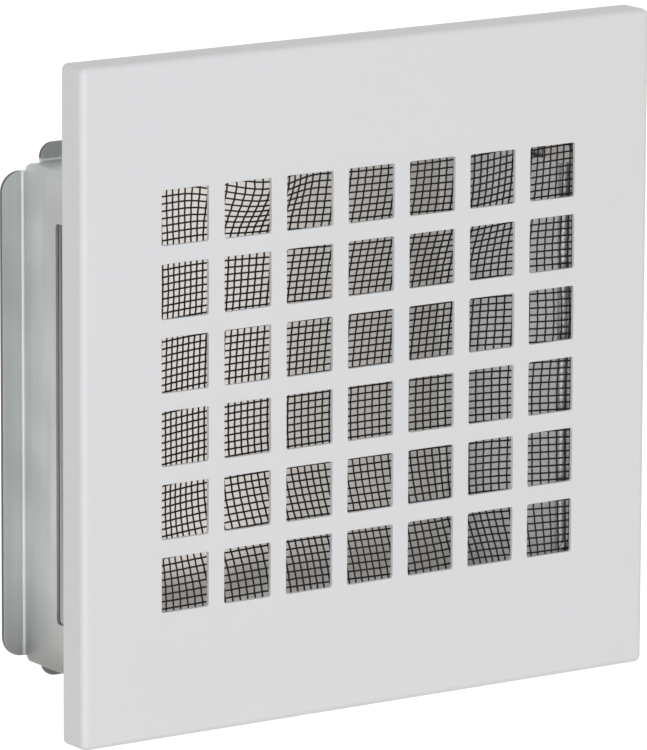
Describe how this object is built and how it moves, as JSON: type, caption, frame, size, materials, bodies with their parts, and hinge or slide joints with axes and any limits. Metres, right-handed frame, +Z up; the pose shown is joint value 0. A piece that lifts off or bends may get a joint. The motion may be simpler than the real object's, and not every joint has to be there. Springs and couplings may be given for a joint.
{
  "type": "ventilation grille",
  "caption": "Square punched front grille with folded edges and a fly screen, held by spring clips in a galvanised sheet mounting frame with rear flanges.",
  "frame": {"origin": "on the surface that the grille stands on, below the middle of its box", "axes": "+Z up, the panel's face towards -Y, the mounting frame towards +Y, +X to the right seen from the front"},
  "size_m": [0.148, 0.0538, 0.148],
  "materials": {
    "panel_white": "semi-gloss white powder coat",
    "screen_black": "matte black coated wire",
    "galvanised": "galvanised sheet, soft spangle",
    "spring_steel": "bare spring steel",
    "zinc_plate": "bright zinc plate"
  },
  "bodies": {
    "mounting": {"mounting_frame": "galvanised", "seam_rivet_1": "zinc_plate", "seam_rivet_2": "zinc_plate"},
    "panel": {"front_panel": "panel_white", "insect_screen": "screen_black", "screen_retainer": "galvanised", "weld_stud_1": "zinc_plate", "weld_stud_2": "zinc_plate", "weld_stud_3": "zinc_plate", "weld_stud_4": "zinc_plate", "weld_stud_5": "zinc_plate", "weld_stud_6": "zinc_plate", "weld_stud_7": "zinc_plate", "weld_stud_8": "zinc_plate", "push_nut_1": "spring_steel", "push_nut_2": "spring_steel", "push_nut_3": "spring_steel", "push_nut_4": "spring_steel", "push_nut_5": "spring_steel", "push_nut_6": "spring_steel", "push_nut_7": "spring_steel", "push_nut_8": "spring_steel", "spring_clip_left": "spring_steel", "spring_clip_right": "spring_steel"}
  },
  "joints": [
    {"name": "panel_pull", "type": "slide", "parent": "mounting", "child": "panel", "axis": [0, -1, 0], "range_m": [0, 0.06]}
  ]
}
